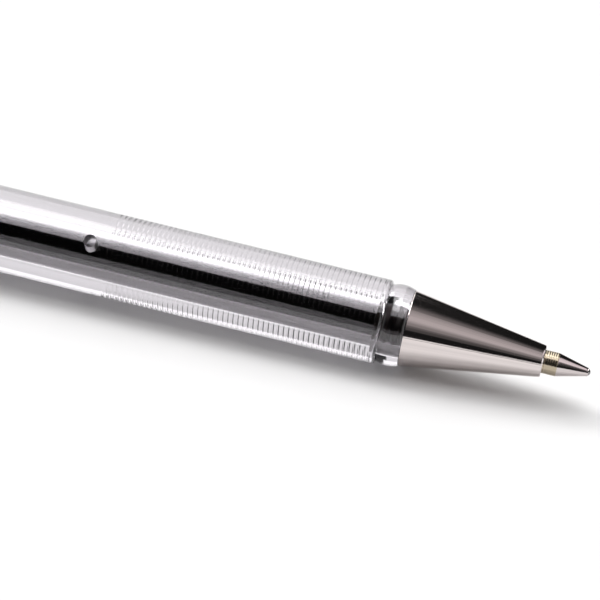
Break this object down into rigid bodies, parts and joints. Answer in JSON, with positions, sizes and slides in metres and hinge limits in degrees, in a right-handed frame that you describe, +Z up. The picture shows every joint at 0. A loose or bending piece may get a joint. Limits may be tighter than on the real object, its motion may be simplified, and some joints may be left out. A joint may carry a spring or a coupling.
{
  "type": "stick ballpoint pen",
  "caption": "Clear-barrelled stick ballpoint pen with a ring-grooved grip, metal nose cone, ink refill and a posted cap with a pocket clip.",
  "frame": {"origin": "on the table under the middle of the pen's bounding box, as it lies with its cap posted", "axes": "+X along the pen towards the writing point, +Z up from the table, +Y to the side that the clip leans to"},
  "size_m": [0.167, 0.0126, 0.0102],
  "materials": {
    "clear_styrene": "clear moulded styrene, polished",
    "nickel_plate": "turned brass, bright nickel plate",
    "clear_tube": "extruded polypropylene, natural",
    "ink": null,
    "natural_plastic": "moulded, natural white",
    "point_metal": "turned nickel silver",
    "carbide": "ground and polished",
    "black_plastic": "moulded, glossy black"
  },
  "bodies": {
    "barrel": {"barrel": "clear_styrene", "end_plug": "black_plastic"},
    "refill": {"refill_tube": "clear_tube", "ink": "ink", "tip_holder": "natural_plastic", "point": "point_metal"},
    "nose_cone": {"nose_cone": "nickel_plate"},
    "ball": {"ball": "carbide"},
    "cap": {"cap": "black_plastic", "cap_clip": "black_plastic"}
  },
  "joints": [
    {"name": "refill_draw", "type": "slide", "parent": "barrel", "child": "refill", "axis": [1, 0, 0], "range_m": [0, 0.003]},
    {"name": "nose_cone_turn", "type": "hinge", "parent": "refill", "child": "nose_cone", "pos_m": [0.06551, -0.00118, 0.0051], "axis": [1, 0, 0], "range_deg": [0, 2160.5]},
    {"name": "ball_roll", "type": "hinge", "parent": "refill", "child": "ball", "pos_m": [0.08316, -0.00118, 0.0051], "axis": [0, 1, 0], "continuous": true},
    {"name": "cap_pull", "type": "slide", "parent": "barrel", "child": "cap", "axis": [-1, 0, 0], "range_m": [0, 0.04]}
  ],
  "couplings": [
    {"joint": "nose_cone_turn", "follows": "refill_draw", "rad_per_m": 12566}
  ]
}
